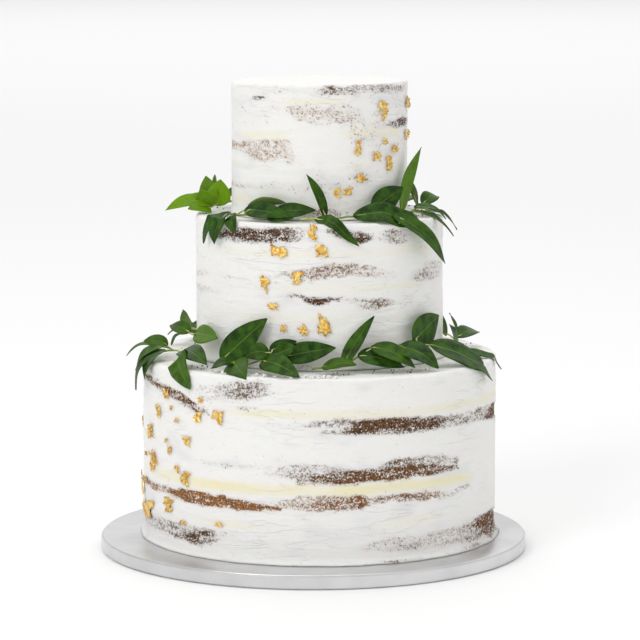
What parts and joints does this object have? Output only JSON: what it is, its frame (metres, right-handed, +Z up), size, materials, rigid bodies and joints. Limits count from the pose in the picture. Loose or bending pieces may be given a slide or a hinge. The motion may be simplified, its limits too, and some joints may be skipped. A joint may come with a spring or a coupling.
{
  "type": "tiered wedding cake",
  "caption": "Tiered round wedding cake with thinly scraped white frosting, sponge showing through, leaf garlands on its ledges and a round foil board.",
  "frame": {"origin": "centre of the board's underside", "axes": "+Z up through the tiers, -Y towards the side with the fullest garlands, +X to its right"},
  "size_m": [0.3048, 0.3048, 0.334],
  "materials": {
    "frosting": "thin scraped white buttercream, soft satin, sponge and crumbs showing through",
    "sponge": "dark brown open crumb, matte",
    "filling": "pale cream-yellow filling, soft satin",
    "foil": "silver foil over board, softly crinkled",
    "leaf_green": "fresh dark green leaf, waxy, paler underneath"
  },
  "bodies": {
    "root": {"board": "foil", "lower_sprig_back": "leaf_green", "lower_sprig_back_left": "leaf_green", "lower_sprig_back_right": "leaf_green", "lower_sprig_front_left": "leaf_green", "lower_sprig_front_right": "leaf_green", "lower_sprig_left_high": "leaf_green", "lower_sprig_left_low": "leaf_green", "lower_sprig_right": "leaf_green", "tier1_coat": "frosting", "tier1_filling1": "filling", "tier1_filling2": "filling", "tier1_filling3": "filling", "tier1_filling4": "filling", "tier1_sponge1": "sponge", "tier1_sponge2": "sponge", "tier1_sponge3": "sponge", "tier1_sponge4": "sponge", "tier1_sponge5": "sponge", "tier2_coat": "frosting", "tier2_filling1": "filling", "tier2_filling2": "filling", "tier2_filling3": "filling", "tier2_filling4": "filling", "tier2_sponge1": "sponge", "tier2_sponge2": "sponge", "tier2_sponge3": "sponge", "tier2_sponge4": "sponge", "tier2_sponge5": "sponge", "tier3_coat": "frosting", "tier3_filling1": "filling", "tier3_filling2": "filling", "tier3_filling3": "filling", "tier3_filling4": "filling", "tier3_sponge1": "sponge", "tier3_sponge2": "sponge", "tier3_sponge3": "sponge", "tier3_sponge4": "sponge", "tier3_sponge5": "sponge", "upper_sprig_back_left": "leaf_green", "upper_sprig_back_right": "leaf_green", "upper_sprig_front": "leaf_green", "upper_sprig_front_left": "leaf_green", "upper_sprig_left": "leaf_green", "upper_sprig_right": "leaf_green"}
  },
  "joints": []
}
